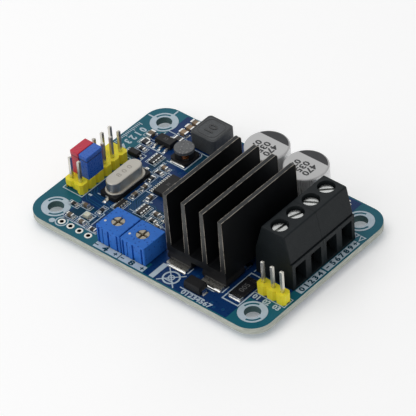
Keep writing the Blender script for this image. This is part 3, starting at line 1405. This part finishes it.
@dataclass
class FinEdges(Assembly):
    """The thin bright lines where the black has worn off the edges of the fins."""

    count: int = 4
    pitch: float = 4.95
    root: float = 1.25
    tip: float = 0.98
    base: float = TOP + 4.1
    corner: float = 0.9
    bead: float = 0.058

    def build(self) -> None:
        """Carries a small round profile up each fin's front edge, along its top and down its back.

        The half width at height z runs evenly from root / 2 at the base to tip / 2 at the top.
        """
        low, high = node_box("heat_sink")
        middle = (low + high)[0] / 2
        front, back, top = low[1], high[1], high[2]
        turn = np.linspace(0, math.pi / 2, 6)
        ys = np.concatenate([[front, front, front], back - self.corner + self.corner * np.sin(turn), [back]])
        zs = np.concatenate([[self.base + 0.4, (self.base + top) / 2, top],
                             top - self.corner + self.corner * np.cos(turn), [self.base + 0.4]])
        profile = circle(0, 0, self.bead, 8)
        edges = Shape()
        for number in range(self.count):
            centre = middle + self.pitch * (number - (self.count - 1) / 2)
            for side in (-1, 1):
                half = self.root / 2 + (self.tip - self.root) / 2 * (zs - self.base) / (top - self.base)
                path = np.column_stack([centre + side * (half - self.bead * 0.55), ys, zs])
                path[:, 1] = np.clip(path[:, 1], front + self.bead * 0.55, back - self.bead * 0.55)
                path[:, 2] = np.minimum(path[:, 2], top - self.bead * 0.55)
                step = np.gradient(path, axis=0)
                step /= np.linalg.norm(step, axis=1, keepdims=True)
                across = np.tile([1.0, 0.0, 0.0], (len(path), 1))
                rise = np.cross(across, step)
                edges.add(*sweep(path, across, rise, profile))
        self.piece("worn_fin_edges", edges, WORN_EDGE, "black_anodised", smooth=60.0)


@dataclass
class DrumWinding(Assembly):
    """The copper winding of the small drum inductor, turn on turn, and its two wire ends."""

    wire: float = 0.16
    turns: int = 6

    def build(self) -> None:
        """Carries a round profile along a helix: angle t, radius steady, height rising with t."""
        low, high = node_box("drum_inductor_coil")
        x, y = (low + high)[:2] / 2
        radius = (high - low)[0] / 2 - self.wire * 0.25
        steps = self.turns * 28
        t = np.linspace(0, self.turns * 2 * math.pi, steps)
        z = np.linspace(low[2] + self.wire, high[2] - self.wire, steps)
        path = np.column_stack([x + radius * np.cos(t), y + radius * np.sin(t), z])
        across = np.column_stack([np.cos(t), np.sin(t), np.zeros(steps)])
        rise = np.tile([0.0, 0.0, 1.0], (steps, 1))
        profile = circle(0, 0, self.wire * 0.62, 8)
        shape = Shape()
        points, faces = sweep(path, across, rise, profile)
        shape.add(points, faces)
        self.piece("drum_winding", shape, COPPER_WIRE, "copper_wire")


@dataclass(frozen=True)
class Studio:
    """Floor, soft light and camera; lengths in metres."""

    floor_half: float = 3.0
    floor_gap: float = 0.00002
    floor_glow: float = 0.2
    surround: float = 0.50
    lens: float = 270.74
    camera_place: tuple[float, float, float] = (0.348045, -0.359727, 0.435914)
    camera_turn: tuple[float, float, float] = (49.0519, 3.6885, 40.8180)
    boxes: tuple[tuple[str, tuple[float, float, float], float, float], ...] = (
        ("overhead_box", (-0.15, -0.10, 0.55), 0.50, 1.0),
        ("front_box", (-0.15, -0.50, 0.35), 0.40, 0.5),
        ("back_box", (-0.35, 0.45, 0.30), 0.35, 0.3))

    def build(self) -> None:
        """Makes the pale floor, the lights and the camera."""
        self.floor()
        self.lights()
        self.camera()

    def floor(self) -> None:
        """A wide white floor just under the lowest pin."""
        level = CAD_BOX[0].z - self.floor_gap
        mesh = bpy.data.meshes.new("floor")
        side = self.floor_half
        corners = [(-side, -side, level), (side, -side, level), (side, side, level), (-side, side, level)]
        mesh.from_pydata(corners, [], [(0, 1, 2, 3)])
        paper = bpy.data.materials.new("floor_paper")
        paper.use_nodes = True
        shader = paper.node_tree.nodes["Principled BSDF"]
        shader.inputs["Base Color"].default_value = (0.92, 0.92, 0.92, 1.0)
        shader.inputs["Emission Color"].default_value = (1.0, 1.0, 1.0, 1.0)
        shader.inputs["Roughness"].default_value = 0.9
        shader.inputs["Specular IOR Level"].default_value = 0.1
        shader.inputs["Emission Strength"].default_value = self.floor_glow
        mesh.materials.append(paper)
        thing = bpy.data.objects.new("floor", mesh)
        bpy.context.scene.collection.objects.link(thing)

    def lights(self) -> None:
        """An even white surround with two soft boxes."""
        world = bpy.data.worlds.new("studio")
        world.use_nodes = True
        background = world.node_tree.nodes["Background"]
        background.inputs[0].default_value = (1.0, 1.0, 1.0, 1.0)
        background.inputs[1].default_value = self.surround
        bpy.context.scene.world = world
        for name, place, size, power in self.boxes:
            lamp = bpy.data.lights.new(name, "AREA")
            lamp.shape = "SQUARE"
            lamp.size = size
            lamp.energy = power
            thing = bpy.data.objects.new(name, lamp)
            thing.location = place
            way = -np.array(place)
            thing.rotation_euler = (math.acos(-way[2] / np.linalg.norm(way)), 0.0,
                                    math.atan2(-way[0], way[1]))
            bpy.context.scene.collection.objects.link(thing)
        bpy.context.scene.view_settings.view_transform = "Standard"

    def camera(self) -> None:
        """A long lens looking down at the board's front corner."""
        data = bpy.data.cameras.new("camera")
        data.sensor_width = 36.0
        data.lens = self.lens
        data.clip_start = 0.01
        data.clip_end = 20.0
        thing = bpy.data.objects.new("camera", data)
        thing.location = self.camera_place
        thing.rotation_euler = tuple(math.radians(angle) for angle in self.camera_turn)
        bpy.context.scene.collection.objects.link(thing)
        bpy.context.scene.camera = thing


def main() -> None:
    logging.basicConfig(level=logging.INFO, format="%(name)s: %(message)s")
    for assembly in (CarriedSolids(), CopperAndMask(), Solder(), PrintedMarks(), PartMarks(), FinEdges(),
                     DrumWinding()):
        LOG.info("building %s", type(assembly).__name__)
        assembly.build()
    Studio().build()


if __name__ == "__main__":
    main()
